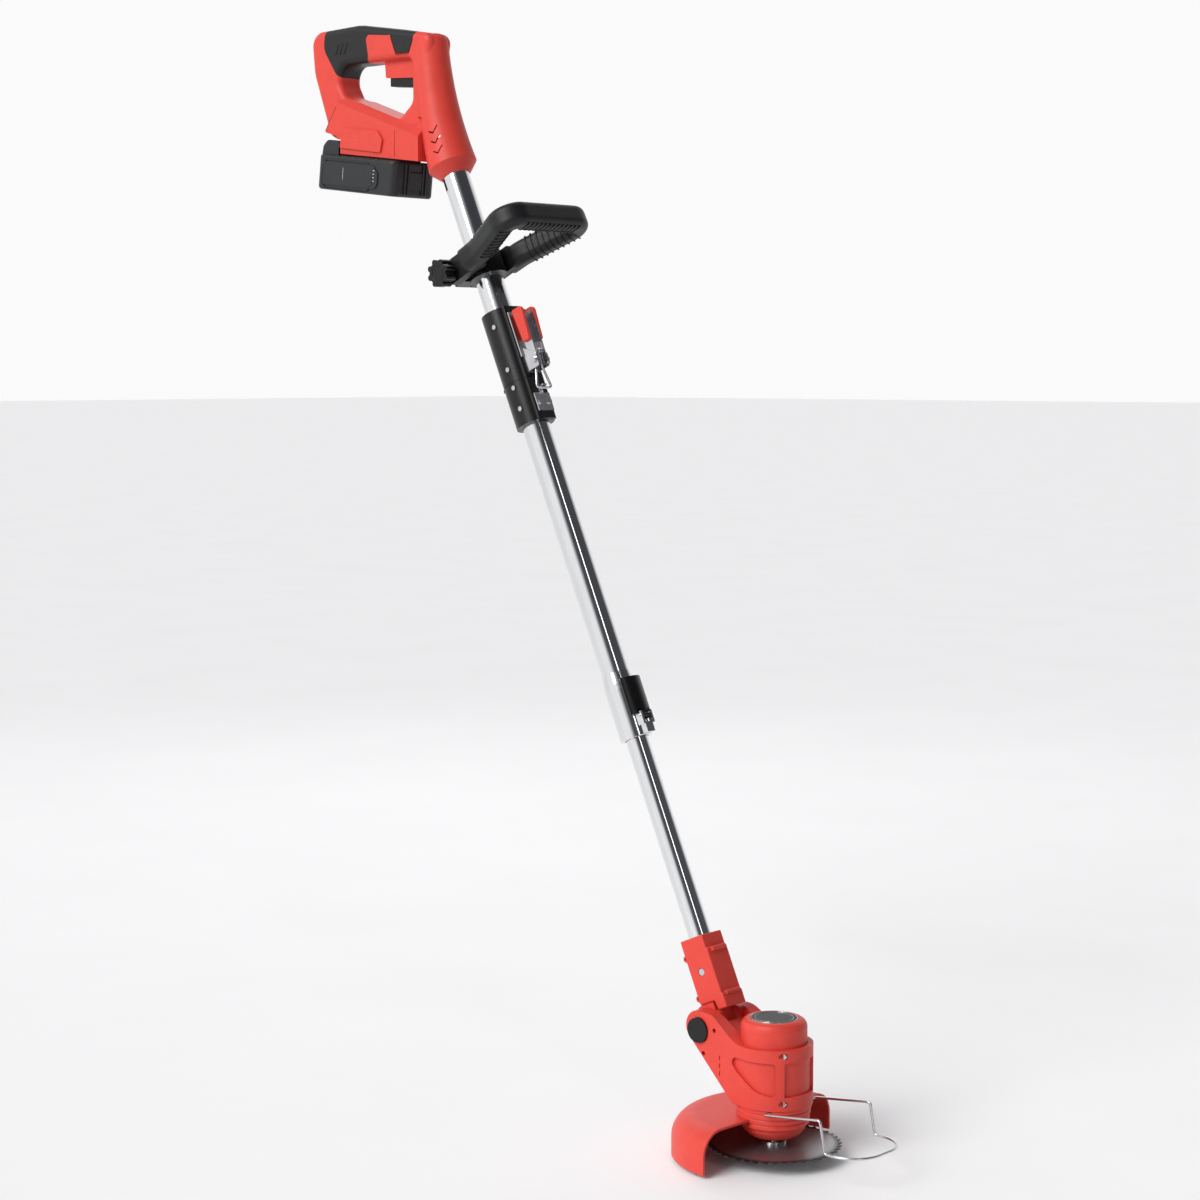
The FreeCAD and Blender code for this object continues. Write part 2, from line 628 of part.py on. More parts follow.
def fold_sleeve(low, high, seam_side, screw_levels):
    """One sleeve half: round behind, boxed in front for the latch, bevelled behind its hinge."""
    seam = D["seam_height"]
    radius = D["sleeve_radius"]
    front, half = D["sleeve_box_front"], D["sleeve_box_half"]
    body = Part.makeCylinder(radius, high - low, V(0, 0, low))
    nose = Part.makeBox(front, 2 * half, high - low, V(0, -half, low))
    edges = [e for e in nose.Edges if e.BoundBox.ZLength > 10 and e.CenterOfMass.x > 10]
    flat = Part.makeBox(radius, 2 * radius, high - low, V(front, -radius, low))
    body = body.cut(flat).fuse(nose.makeFillet(3, edges))
    free = low if seam_side > 0 else high
    room = Part.makeBox(front - 19.5, 2 * half - 5, 26, V(17, 2.5 - half, free - (0 if seam_side > 0 else 26)))
    body = body.cut(room).cut(Part.makeCylinder(D["tube_radius"] + 0.02, 400, V(0, 0, 700)))
    rise = 8 * math.tan(math.radians(72))
    bevel = Part.makePolygon([
        V(-HINGE_BACK, -30, seam), V(-HINGE_BACK - 8, -30, seam),
        V(-HINGE_BACK - 8, -30, seam - seam_side * rise), V(-HINGE_BACK, -30, seam),
    ])
    body = body.cut(Part.Face(bevel).extrude(V(0, 60, 0)))

    def knuckles(radius, spans):
        return [
            Part.makeCylinder(radius, b - a, V(-HINGE_BACK, a, seam), V(0, 1, 0)) for a, b in spans
        ]

    centre, outside = [(-4, 4)], [(-9.5, -4.3), (4.3, 9.5)]
    own, other = (outside, centre) if seam_side > 0 else (centre, outside)
    for tool in knuckles(3.8, [(a - 0.15, b + 0.15) for a, b in other]):
        body = body.cut(tool)
    for lug in knuckles(3.4, own):
        body = body.fuse(lug)
    inside = Part.makeCylinder(D["tube_radius"] + 0.02, 400, V(0, 0, 700))
    pin = knuckles(1.6 + (RUN if seam_side > 0 else 0.02), [(-20, 20)])[0]
    body = body.cut(inside).cut(pin)
    for z in screw_levels:
        body = body.cut(Part.makeCylinder(1.52, 12, V(SLEEVE_SCREW_X, -26, z), V(0, 1, 0)))
        body = body.cut(Part.makeCylinder(3, 4, V(SLEEVE_SCREW_X, -26.2, z), V(0, 1, 0)))
    return body


def make_fold_joint():
    seam = D["seam_height"]
    levels = {"upper": (975, 921), "lower": (898, 872)}
    upper = fold_sleeve(seam + 0.2, D["sleeve_top"], -1, levels["upper"])
    lower = fold_sleeve(D["sleeve_foot"], seam - 0.2, 1, levels["lower"])
    node("fold_sleeve_upper", own_shape(upper), POLE)
    node("fold_sleeve_lower", own_shape(lower), POLE)
    node("fold_pin", bar_y(Size(1.6), -9.5, 9.5, -HINGE_BACK, seam), POLE)
    for name, heights in levels.items():
        screws = []
        for z in heights:
            head = bar_y(Size(2.8), -24.0, -22.2, SLEEVE_SCREW_X, z)
            screws.append(fuse(head, bar_y(Size(1.5), -22.5, -17.2, SLEEVE_SCREW_X, z)))
        node("sleeve_screws_" + name, group(*screws), POLE)


LATCH_X, LATCH_Z = 37.0, 920.0
BAIL_X, BAIL_Z = 33.5, 933.0
BAR_X, BAR_Z = 30.2, 887.6


def make_latch():
    """Toggle latch: base with two ears, lever with a red sleeve, and the bail it draws up."""
    front = D["sleeve_box_front"]
    plate = box((front, -13, 930), (front + 1.4, 13, 986))
    foot = box((front, -10, 910), (front + 1.4, 10, 931))
    ears = []
    for y in (-10, 8.6):
        side = rounded_outline([(front, 911, 0), (42, 911, 4.5), (42, 927, 4.5), (front, 942, 0)])
        ears.append(own_shape(prism_y(side, y, y + 1.4)))
    axle = bar_y(Size(2.02), -12, 12, LATCH_X, LATCH_Z)
    node("latch_base", cut(fuse(plate, foot, *ears), axle), POLE)
    rivets = []
    for low, high, head in ((-12, -6.6, -12.6), (6.6, 12, 10.1)):
        shank = bar_y(Size(2), low, high, LATCH_X, LATCH_Z)
        rivets.append(fuse(shank, bar_y(Size(3.8), head, head + 2.5, LATCH_X, LATCH_Z)))
    node("latch_rivets", group(*rivets), POLE)
    side = rounded_outline([(31.6, 914, 3), (41.6, 914, 4), (42.5, 982, 4), (30, 982, 2), (30, 928, 2)])
    lever = prism_y(side, -8.4, -6.8).fuse(prism_y(side, 6.8, 8.4))
    lever = lever.fuse(Part.makeBox(1.5, 16.8, 42, V(30, -8.4, 945)))
    lever = lever.cut(Part.makeCylinder(2 + RUN, 40, V(LATCH_X, -20, LATCH_Z), V(0, 1, 0)))
    lever = lever.cut(Part.makeCylinder(1.62, 40, V(BAIL_X, -20, BAIL_Z), V(0, 1, 0)))
    node("latch_lever", own_shape(lever), POLE)
    outer = rounded_outline([(30.5, 944, 2), (42, 944, 3), (45, 986, 6), (27.5, 986, 3)])
    channel = Part.makeBox(30, 13.4, 60, V(33.2, -6.7, 940))
    socket = Part.makeBox(20, 17.0, 45, V(29.8, -8.5, 943.5))
    grip = prism_y(outer, -12.5, 12.5)
    grip = grip.makeFillet(2, [e for e in grip.Edges if abs(abs(e.CenterOfMass.y) - 12.5) < 0.01])
    grip = grip.cut(channel).cut(socket)
    node("latch_lever_sleeve", own_shape(grip), POLE)
    node("bail_pin", bar_y(Size(1.6), -8.4, 8.4, BAIL_X, BAIL_Z), POLE)
    half = [(BAIL_X, 4.9, BAIL_Z - 3), (32.4, 4.9, 915), (BAR_X, 12.4, BAR_Z)]
    other = [(x, -y, z) for x, y, z in reversed(half)]
    wire = rod_along(half + other, 1.5, [14, 3, 3, 14])
    bail = wire
    for y in (-6.5, 3.3):
        bail = bail.fuse(Part.makeCylinder(3.4, 3.2, V(BAIL_X, y, BAIL_Z), V(0, 1, 0)))
    bail = bail.cut(Part.makeCylinder(1.6 + RUN, 40, V(BAIL_X, -20, BAIL_Z), V(0, 1, 0)))
    node("bail_wire", own_shape(bail), POLE)
    hook_top = 892
    plate = box((front, -12.5, 862), (front + 1.6, 12.5, 884))
    neck = box((front, -3.4, 883), (front + 1.6, 3.4, hook_top))
    tab = box((front, -3.4, hook_top - 2), (BAR_X + 2, 3.4, hook_top))
    node("hook_plate", fuse(plate, neck, tab), POLE)
    screws = [bar_x(Size(3.3), front + 1.6, front + 3.6, y, 873) for y in (-7.6, 7.6)]
    node("hook_screws", group(*screws), POLE)


def make_upper_tube():
    tube = ring(D["tube_radius"], D["tube_radius"] - D["tube_wall"], D["seam_height"] + 2, D["upper_tube_top"])
    node("upper_tube", tube, POLE)


# ---------------------------------------------------------------- front loop handle
BOLT_X = -25.5


def make_loop_handle():
    level = D["loop_height"]
    collar = ring(Size(22.6), D["tube_radius"] + RUN, level - 17, level + 17)
    lug = box((-34, -22.8, level - 13), (-18.5, 22.8, level + 13))
    slit = box((-36, -0.8, level - 20), (-12, 0.8, level + 20))
    bolt_hole = bar_y(Size(3 + RUN), -30, 30, BOLT_X, level)
    inside = cylinder(D["tube_radius"] + RUN, 60, at(0, 0, level - 30))
    node("clamp_collar", cut(fuse(collar, lug), slit, bolt_hole, inside), POLE)

    reach, half = D["loop_reach"], D["loop_half"]
    thick, tall = 12.0, D["loop_bar_half"]

    def lifted(x, y):
        return (x, y, level + 0.045 * (x - BOLT_X))

    side = [lifted(8, 35), lifted(30, 36.4), lifted(reach, half)]
    other = [(x, -y, z) for x, y, z in reversed(side)]
    path = loop_path(side + other, [40, 17, 17, 40])
    x, y, z = side[0]
    section = rounded_outline([
        (-thick, -tall, 9), (thick, -tall, 9), (thick, tall, 9), (-thick, tall, 9),
    ])
    section.Placement = FreeCAD.Placement(V(x, y, z), FreeCAD.Rotation(V(0, 0, 1), 90))
    loop = path.makePipeShell([section], True, False)
    ears = []
    for y in (-35.6, 23.3):
        ear = prism_y(rounded_outline([
            (-37, level - 14, 12), (24, level - 12, 4), (24, level + 16, 4), (-37, level + 14, 12),
        ]), y, y + 12.3)
        ears.append(ear)
    loop = loop.fuse(ears[0]).fuse(ears[1])
    loop = loop.cut(Part.makeCylinder(3 + RUN, 100, V(BOLT_X, -50, level), V(0, 1, 0)))
    loop = loop.cut(Part.makeBox(64, 46.4, 60, V(-40, -23.2, level - 30)))
    node("loop_handle", own_shape(loop), POLE)

    knob = Part.makeCylinder(13.2, 15, V(BOLT_X, -55, level), V(0, 1, 0))
    for i in range(8):
        angle = i * math.pi / 4
        lobe = Part.makeCylinder(3.6, 15, V(BOLT_X + 13.2 * math.cos(angle), -55, level + 13.2 * math.sin(angle)),
                                 V(0, 1, 0))
        knob = knob.fuse(lobe)
    neck = Part.makeCone(8, 10.5, 4.1, V(BOLT_X, -36.0, level), V(0, -1, 0))
    knob = knob.fuse(neck).removeSplitter()
    knob = knob.cut(Part.makeCylinder(3.02, 16, V(BOLT_X, -50, level), V(0, 1, 0)))
    node("star_knob", own_shape(knob), POLE)
    hexagon = [V(6 * math.cos(a * math.pi / 3), 6 * math.sin(a * math.pi / 3), 0) for a in range(7)]
    nut = Part.Face(Part.makePolygon(hexagon)).extrude(V(0, 0, 5))
    nut = nut.cut(Part.makeCylinder(3 + RUN, 8, V(0, 0, -1)))
    bolt = bar_y(Size(3), -49.5, 41.5, BOLT_X, level)
    node("clamp_bolt", group(bolt, own_shape(nut, at(BOLT_X, 35.9, level, ALONG_Y))), POLE)


def loop_path(points, bends):
    """A wire through points in one plane, each inner corner rounded by its own radius."""
    edges = []
    last = V(*points[0])
    for i, bend in enumerate(bends, start=1):
        here = V(*points[i])
        before = (V(*points[i - 1]) - here).normalize()
        after = (V(*points[i + 1]) - here).normalize()
        half = before.getAngle(after) / 2
        reach = bend / math.tan(half)
        middle = (before + after).normalize()
        top = here + middle * (bend / math.sin(half) - bend)
        edges.append(Part.LineSegment(last, here + before * reach).toShape())
        edges.append(Part.Arc(here + before * reach, top, here + after * reach).toShape())
        last = here + after * reach
    edges.append(Part.LineSegment(last, V(*points[-1])).toShape())
    return Part.Wire(edges)


make_lower_tube()
make_adapter()
make_telescope()
make_fold_joint()
make_latch()
make_upper_tube()
make_loop_handle()


# ---------------------------------------------------------------- rear handle
NOSE = pole_point(0, 0, D["nose_level"])
HANDLE = FreeCAD.Placement(NOSE, FreeCAD.Rotation())
LEAN = FreeCAD.Placement(V(0, 0, 0), FreeCAD.Rotation(V(0, 1, 0), -D["shaft_lean"]))
LEANING_UP = LEAN.Rotation.multVec(V(0, 0, 1))
PACK = FreeCAD.Placement(V(-140.5, 0, 7.5), FreeCAD.Rotation(V(0, 1, 0), D["battery_tilt"]))

BOW_OUTER = [
    (-22, 168, 12), (-72, 177, 60), (-150, 189.5, 100), (-238, 187, 18), (-233, 136, 60),
    (-203, 56, 12), (-40, 56, 12),
]
BOW_OPENING = [(-57, 142, 9), (-197, 143, 17), (-175, 105, 10), (-80, 72, 10), (-57, 90, 12)]
BASE_SIDE = [
    (-202, 63, 2), (-175, 103, 8), (-160, 100, 12), (-80, 72, 6), (-36, 70, 0), (-36, 18, 0),
    (-44, 19.2, 3), (-178, 35.6, 1), (-180, 57, 2),
]
HANDLE_SCREWS = [(-30, 122, 19.5), (-207, 118, 16), (-168, 80, 24), (-57, 42, 24)]


def bow(inset, half, rounding):
    """The hand loop: grip bar and rear limb, drawn in by an inset."""
    outer = rounded_outline(BOW_OUTER)
    opening = rounded_outline(BOW_OPENING)
    if inset:
        outer = outer.makeOffset2D(-inset)
        opening = opening.makeOffset2D(inset)
    solid = prism_y(outer, -half, half).cut(prism_y(opening, -half - 1, half + 1))
    if rounding:
        edges = [e for e in solid.Edges if abs(abs(e.CenterOfMass.y) - half) < 0.01]
        solid = solid.makeFillet(rounding, edges)
    return solid


def column(inset, low, top_rounding):
    """The leaning front column, lofted from the rim up to the front corner of the grip."""
    foot = LEANING_UP * low
    stations = [
        (foot.x, foot.z, D["nose_radius"], LEANING_UP),
        (-32, 96, 23.5, V(-0.3, 0, 0.954)),
        (-41, 169 - inset, 19.8, V(-0.12, 0, 0.993)),
    ]
    rings = [
        Part.Wire(Part.makeCircle(radius - inset, V(x, 0, z), normal)) for x, z, radius, normal in stations
    ]
    solid = Part.makeLoft(rings, True, False)
    if top_rounding:
        top = max(solid.Edges, key=lambda e: e.CenterOfMass.z)
        solid = solid.makeFillet(top_rounding, [top])
    return solid


def base_block(inset):
    """The block over the battery, with sloped shoulders."""
    half = D["handle_half"] - inset
    wire = rounded_outline(BASE_SIDE)
    if inset:
        wire = wire.makeOffset2D(-inset)
    solid = prism_y(wire, -half, half)
    slope = V(80, 0, -28).normalize()
    start = V(-160, 0, 100 - inset) - slope * 60
    for side in (-1, 1):
        corners = [(half - 9, 0), (half + 1, -10), (half + 1, 12), (half - 9, 12)]
        outline = [start + V(0, side * y, z) for y, z in corners]
        wedge = Part.Face(Part.makePolygon(outline + outline[:1]))
        solid = solid.cut(wedge.extrude(slope * 220))
    return solid


def grip_region():
    """Side view of the soft grip: all round behind, a band on top in front."""
    return prism_y(rounded_outline([
        (-205, 210, 0), (-212, 165, 20), (-182, 122, 20), (-158, 132, 0), (-140, 134, 0), (-131, 150, 5),
        (-136, 176, 6), (-98, 172, 8), (-92, 172, 0), (-92, 210, 0),
    ]), -30, 30)


def saddle_region(grow):
    return prism_y(rounded_outline([
        (-92 - grow, 210, 0), (-92 - grow, 172, 6), (-82 - grow, 149 - grow, 4), (-60 + grow, 149 - grow, 4),
        (-50 + grow, 172, 6), (-46 + grow, 210, 0),
    ]), -30, 30)


def pack_box(low, high):
    """A box given in the battery's tilted frame."""
    shape = Part.makeBox(high[0] - low[0], high[1] - low[1], high[2] - low[2], V(*low))
    shape.Placement = PACK
    return shape


def make_rear_handle():
    skin = D["grip_skin"]
    half = 19.5
    loop = bow(0, half, 8)
    core = bow(skin, half - skin, 5.6)
    shell = loop.cut(core)
    stem = column(0, 13, 11)
    overmould = shell.common(grip_region()).cut(stem)
    node("grip_overmould", own_shape(overmould), HANDLE)
    saddle_wall = loop.cut(bow(skin + 0.1, half - skin - 0.1, 0))
    saddle = saddle_wall.common(saddle_region(0)).cut(column(-0.3, 13, 0))
    saddle = saddle.cut(Part.makeBox(200, 80, 60, V(-292.3, -40, 140)))
    node("lock_off_button", own_shape(saddle), HANDLE)

    nose = Part.makeCone(18, D["nose_radius"], 13)
    nose.Placement = LEAN
    body = loop.fuse(stem).fuse(nose).fuse(base_block(0))
    guard_block = prism_y(rounded_outline([(-113, 146, 0), (-111, 123, 2), (-48, 119, 0), (-48, 146, 0)]), -9, 9)
    body = body.fuse(guard_block)
    for side in (-1, 1):
        low, high = sorted((side * D["handle_half"], side * (D["handle_half"] + 2)))
        panel = rounded_outline([(-172, 42, 2), (-168, 66, 3), (-104, 58, 6), (-96, 47, 2), (-100, 32, 2)])
        body = body.fuse(prism_y(panel, low - 0.5, high))
    body = body.removeSplitter()

    hollow = bow(D["handle_wall"] + skin, half - skin - D["handle_wall"], 0)
    hollow = hollow.fuse(column(D["handle_wall"], 40, 0))
    hollow = hollow.fuse(base_block(D["handle_wall"]).cut(pack_box((-90, -40, 0), (66, 40, 44))))
    bosses = []
    for x, z, seat in HANDLE_SCREWS:
        bosses.append(Part.makeCylinder(4.2, 80, V(x, -40, z), V(0, 1, 0)))
    collar = Part.makeCylinder(40, 12, V(0, 0, 74))
    collar.Placement = LEAN
    for tool in bosses + [collar]:
        hollow = hollow.cut(tool)
    switch_room = Part.makeBox(44, 20.4, 20, V(-106, -10.2, 146))
    hollow = hollow.fuse(switch_room)

    tube = Part.makeCylinder(D["tube_radius"] + 0.02, 108, V(0, 0, -20))
    tube.Placement = LEAN
    channel = pack_box((-90, -20.6, 21), (61, 20.6, 39.8))
    rails = [pack_box((-90, y, 21), (61, y + 3, 32.5)) for y in (-20.6, 17.6)]
    for rail in rails:
        channel = channel.cut(rail)
    hump_room = pack_box((-90, -31, 21), (-36.5, 31, 40.5))
    terminal_seat = pack_box((60, -17, 24), (66, 17, 38))
    trigger_room = Part.makeBox(65, 13.6, 35, V(-110.4, -6.8, 104))
    saddle_room = loop.cut(bow(skin + 2.6, half - skin - 0.4, 0)).common(saddle_region(0.3))
    lowered = [saddle_room.translated(V(0, 0, -0.6 * step)) for step in range(1, 5)]
    saddle_room = saddle_room.fuse(lowered)
    for tool in (hollow, tube, channel, hump_room, terminal_seat, trigger_room, saddle_room, overmould):
        body = body.cut(tool)
    pivot = Part.makeCylinder(1.52, 60, V(-52, -30, 121), V(0, 1, 0))
    body = body.cut(pivot.common(Part.makeBox(20, 24, 20, V(-60, -12, 110))))
    for x, z, seat in HANDLE_SCREWS:
        body = body.cut(Part.makeCylinder(1.52, seat + 14, V(x, -14, z), V(0, 1, 0)))
        body = body.cut(Part.makeCylinder(3.1, 30, V(x, seat, z), V(0, 1, 0)))
    for i in range(3):
        body = body.cut(chevron(i))
    left = Part.makeBox(500, 60, 500, V(-400, 0, -200))
    node("handle_housing_left", own_shape(body.common(left)), HANDLE)
    node("handle_housing_right", own_shape(body.cut(left)), HANDLE)
    screws = []
    for x, z, seat in HANDLE_SCREWS:
        screws.append(fuse(bar_y(Size(2.8), seat, seat + 2.2, x, z), bar_y(Size(1.5), -13, seat + 0.1, x, z)))
    node("handle_screws", group(*screws), HANDLE)


def chevron(i):
    """One of three engraved arrow marks on the near side of the column."""
    x, z = -12 + 5 * i, 52 - 12 * i
    mark = rounded_outline([
        (x - 8, z + 1, 0), (x - 7, z - 1, 0), (x, z - 3, 0), (x + 4, z + 7, 0), (x + 2.6, z + 8, 0), (x - 1, z - 1, 0),
    ])
    return prism_y(mark, -40, -21.5)


def make_trigger():
    side = rounded_outline([
        (-47.5, 124.5, 3), (-47.5, 116, 3), (-62, 108.5, 3), (-105.5, 112.5, 1.5), (-105.5, 124, 1), (-60, 126, 0),
    ])
    trigger = prism_y(side, -6.4, 6.4).cut(Part.makeCylinder(1.5 + RUN, 30, V(-52, -15, 121), V(0, 1, 0)))
    node("trigger", own_shape(trigger), HANDLE)
    node("trigger_pin", bar_y(Size(1.5), -11.5, 11.5, -52, 121), HANDLE)
    node("trigger_spring", coil(3.2, 0.5, 13.1, 5, at(-92, 0, 125.9)), HANDLE)
    node("switch_body", box((-106, -10.2, 146), (-62, 10.2, 166)), HANDLE)


# ---------------------------------------------------------------- battery
def make_battery():
    half, length, height = D["battery_half"], D["battery_length"], D["battery_height"]
    place = HANDLE.multiply(PACK)
    end = length / 2
    top = height / 2
    case = Part.makeBox(length, 2 * half, height, V(-end, -half, -top))
    uprights = [e for e in case.Edges if e.BoundBox.ZLength > 40]
    case = case.makeFillet(10, uprights)
    rims = [e for e in case.Edges if e.BoundBox.ZLength < 0.1]
    case = case.makeFillet(4, rims)
    for side in (-1, 1):
        panel = rounded_outline([(-60, -15, 5), (-60, 13, 8), (34, 13, 8), (42, 4, 3), (42, -15, 8)])
        low, high = sorted((side * (half - 0.5), side * (half + 1.2)))
        case = case.fuse(prism_y(panel, low, high))
    for y in (-18, -12.5, 11, 16.5):
        case = case.fuse(Part.makeBox(3.4, 2.5, 35, V(end - 2, y, -17.5)))
    inside = Part.makeBox(length - 5, 2 * half - 4.4, height - 4.4, V(2.2 - end, 2.2 - half, 2.2 - top))
    inside = inside.makeFillet(6, [e for e in inside.Edges if e.BoundBox.ZLength > 30])
    case = case.cut(inside)
    window = Part.makeBox(8, 21, 21, V(end - 6, -10.5, -11.5))
    case = case.cut(window)
    lower = case.cut(Part.makeBox(400, 200, 60, V(-200, -100, top - 6)))
    node("battery_case", own_shape(lower), place)
    cover = case.common(Part.makeBox(400, 200, 60, V(-200, -100, top - 6)))
    hump = prism_y(rounded_outline([
        (-end + 2, top - 1, 0), (-end + 3, 31, 8), (-60, 39, 10), (-38.5, 39, 2), (-38.5, top - 1, 0),
    ]), -29, 29)
    stem = Part.makeBox(99.5, 34, 18, V(-39.5, -17, top - 1))
    rail = Part.makeBox(99.5, 40.4, 6.0, V(-39.5, -20.2, 33))
    cover = cover.fuse([hump, stem, rail])
    neck_room = Part.makeBox(90, 28, 16, V(-34, -14, top - 4))
    hump_room = Part.makeBox(18, 38, 13, V(-57, -19, top - 4))
    slots = [Part.makeBox(27, 1.8, 15, V(35, y - 0.9, 25)) for y in (-12, -4, 4, 12)]
    cover = cover.cut([neck_room, hump_room] + slots)
    node("battery_cover", own_shape(cover), place)
    cells = []
    for row in (-1, 1):
        for i in range(5):
            cells.append(bar_y(Size(9.15), -32.5, 32.5, -46 + 18.6 * i, row * 9.35 - 0.6))
    node("battery_cells", group(*cells), place)
    button = Part.makeBox(7, 20.4, 20.4, V(end - 5.2, -10.2, -11.2))
    button = button.makeFillet(1.2, [e for e in button.Edges if e.CenterOfMass.x > end + 1.7])
    flange = Part.makeBox(1.2, 24, 24, V(end - 6.2, -12, -13))
    node("battery_button", own_shape(button.fuse(flange)), place)
    blades = [box((36.6, y - 0.4, 26), (61.5, y + 0.4, 37)) for y in (-12, -4, 4, 12)]
    holder = box((61.2, -16.8, 24.2), (65.8, 16.8, 37.8))
    node("battery_terminals", fuse(holder, *blades), place)


make_rear_handle()
make_trigger()
make_battery()


# ---------------------------------------------------------------- checks and files
def write_parts():
    """Check every object and sub-part, then write one STEP file per node."""
    doc.recompute()
    for obj in doc.Objects:
        if "Invalid" in obj.State or "Error" in obj.State:
            raise RuntimeError("%s (%s) failed: %s" % (obj.Name, obj.Label, obj.State))
    os.makedirs("parts", exist_ok=True)
    for name, obj in NODES.items():
        shape = obj.Shape
        if shape.isNull() or not shape.isValid() or not shape.Solids:
            raise RuntimeError("%s has no valid solid" % name)
        shape.exportStep("parts/%s.step" % name)
        size = shape.BoundBox
        print("%-22s %d solid(s) %8.2f cm3  %.0f x %.0f x %.0f mm" % (
            name, len(shape.Solids), shape.Volume / 1000, size.XLength, size.YLength, size.ZLength))


write_parts()
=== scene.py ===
"""The string trimmer's looks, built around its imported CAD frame."""

import json
import math

import bpy
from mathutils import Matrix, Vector


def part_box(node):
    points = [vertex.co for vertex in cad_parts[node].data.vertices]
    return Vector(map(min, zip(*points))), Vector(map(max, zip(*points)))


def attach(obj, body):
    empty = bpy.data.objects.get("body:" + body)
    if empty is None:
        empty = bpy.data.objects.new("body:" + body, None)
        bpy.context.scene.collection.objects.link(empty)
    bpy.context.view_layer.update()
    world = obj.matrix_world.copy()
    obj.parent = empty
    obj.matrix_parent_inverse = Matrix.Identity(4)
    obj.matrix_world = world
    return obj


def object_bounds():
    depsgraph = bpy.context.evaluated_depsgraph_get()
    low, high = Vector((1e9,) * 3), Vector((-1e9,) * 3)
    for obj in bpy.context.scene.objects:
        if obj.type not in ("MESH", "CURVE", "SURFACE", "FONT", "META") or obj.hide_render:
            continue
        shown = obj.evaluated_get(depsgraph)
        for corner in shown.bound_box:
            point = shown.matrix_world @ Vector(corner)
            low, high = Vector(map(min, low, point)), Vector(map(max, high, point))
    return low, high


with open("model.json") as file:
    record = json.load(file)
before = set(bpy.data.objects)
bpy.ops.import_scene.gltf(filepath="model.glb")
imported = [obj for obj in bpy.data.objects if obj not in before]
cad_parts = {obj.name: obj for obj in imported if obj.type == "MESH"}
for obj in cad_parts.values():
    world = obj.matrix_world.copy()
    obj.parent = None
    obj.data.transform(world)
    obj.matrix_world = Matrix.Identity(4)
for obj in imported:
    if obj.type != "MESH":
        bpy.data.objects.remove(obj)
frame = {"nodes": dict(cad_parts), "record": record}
cad_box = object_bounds()

# ------------------------------------------------------------------ places taken from the frame
MM = 0.001
JOINTS = {joint["name"]: joint for joint in frame["record"]["behaviour"]["joints"]}
POLE_UP = Vector(JOINTS["telescope"]["axis"]).normalized()
POLE_FRONT = Vector((POLE_UP.z, 0, -POLE_UP.x))
POLE_FOOT = Vector((-0.010, 0, 0.016))
NOSE = POLE_FOOT + POLE_UP * 1.174
PACK_BACK = Vector(JOINTS["battery_slide"]["axis"]).normalized()
PACK_UP = Vector((PACK_BACK.z, 0, -PACK_BACK.x))
PACK_CENTRE = NOSE + Vector((-0.1405, 0, 0.0075))


def pole(front, left, up):
    """A point beside the pole: millimetres in front of it, to its left and up along it."""
    return POLE_FOOT + (POLE_FRONT * front + Vector((0, left, 0)) + POLE_UP * up) * MM


def handle(x, y, z):
    """A point on the rear handle, in millimetres from the middle of its nose."""
    return NOSE + Vector((x, y, z)) * MM


def pack(x, y, z):
    """A point on the battery, in millimetres from its centre, along its own length and height."""
    return PACK_CENTRE + (PACK_UP * z - PACK_BACK * x + Vector((0, y, 0))) * MM


# ------------------------------------------------------------------ materials
def new_material(name):
    material = bpy.data.materials.new(name)
    material.use_nodes = True
    shader = material.node_tree.nodes["Principled BSDF"]
    return material, material.node_tree, shader


def add(tree, kind, **inputs):
    """A node with its named inputs set."""
    made = tree.nodes.new(kind)
    for name, value in inputs.items():
        made.inputs[name.replace("_", " ")].default_value = value
    return made


def coordinates(tree, stretch):
    """Object coordinates stretched along each axis."""
    place = tree.nodes.new("ShaderNodeTexCoord")
    mapping = add(tree, "ShaderNodeMapping", Scale=stretch)
    tree.links.new(place.outputs["Object"], mapping.inputs["Vector"])
    return mapping.outputs["Vector"]


def ramp(tree, source, low, high, start=0.0, end=1.0):
    """A colour ramp from low to high driven by a value."""
    made = tree.nodes.new("ShaderNodeValToRGB")
    made.color_ramp.elements[0].color = low
    made.color_ramp.elements[0].position = start
    made.color_ramp.elements[1].color = high
    made.color_ramp.elements[1].position = end
    tree.links.new(source, made.inputs["Fac"])
    return made.outputs["Color"]


def product(tree, first, second):
    """Two colours multiplied together."""
    mix = tree.nodes.new("ShaderNodeMix")
    mix.data_type = "RGBA"
    mix.blend_type = "MULTIPLY"
    mix.inputs["Factor"].default_value = 1.0
    tree.links.new(first, mix.inputs["A"])
    tree.links.new(second, mix.inputs["B"])
    return mix.outputs["Result"]


def shade(colour, factor):
    return tuple(min(1.0, channel * factor) for channel in colour) + (1.0,)


